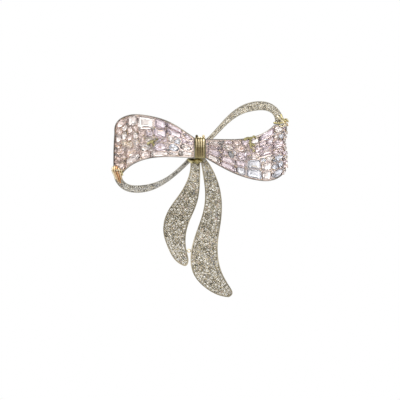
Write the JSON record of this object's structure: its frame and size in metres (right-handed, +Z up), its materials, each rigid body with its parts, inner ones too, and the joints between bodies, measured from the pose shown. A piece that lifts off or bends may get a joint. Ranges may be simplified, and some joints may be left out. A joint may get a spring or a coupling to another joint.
{
  "type": "brooch",
  "caption": "Ribbon bow brooch with mixed-cut stone wings, pave bands and two pave tails, with a hinged pin and a turning safety catch on its back.",
  "frame": {"origin": "on the rear face of the back bar, straight behind the knot", "axes": "+Z up as the brooch is worn, along its longest extent; the front faces -Y and the pin is on +Y; +X is to the right of someone who faces it"},
  "size_m": [0.0502, 0.0112, 0.0557],
  "materials": {
    "gold": "polished pale gold plate",
    "pin_metal": "polished, pale gold plated steel",
    "wing_stone": "faceted, clear with a faint pink and lavender tint",
    "pave_stone": "faceted, clear"
  },
  "bodies": {
    "bow": {"back_bar": "gold", "catch_housing": "gold", "hinge_bracket": "gold", "hinge_rivet": "pin_metal", "knot_core": "gold", "knot_leaf": "gold", "knot_wrap": "gold", "left_band": "gold", "left_band_pave": "pave_stone", "left_fold_clip": "gold", "left_tail": "gold", "left_tail_pave": "pave_stone", "left_wing_baguettes": "wing_stone", "left_wing_frame": "gold", "left_wing_marquises": "wing_stone", "left_wing_rounds": "wing_stone", "right_band": "gold", "right_band_pave": "pave_stone", "right_fold_clip": "gold", "right_tail": "gold", "right_tail_pave": "pave_stone", "right_wing_baguettes": "wing_stone", "right_wing_frame": "gold", "right_wing_marquises": "wing_stone", "right_wing_rounds": "wing_stone", "tail_link_ring": "gold"},
    "pin_stem": {"pin_stem": "pin_metal"},
    "catch_lock": {"catch_rotor": "gold"}
  },
  "joints": [
    {"name": "pin_hinge", "type": "hinge", "parent": "bow", "child": "pin_stem", "pos_m": [0.0155, 0.002, 0], "axis": [0, 0, -1], "range_deg": [0, 100]},
    {"name": "catch_turn", "type": "hinge", "parent": "bow", "child": "catch_lock", "pos_m": [-0.017, 0.002, 0], "axis": [1, 0, 0], "range_deg": [0, 110]}
  ]
}
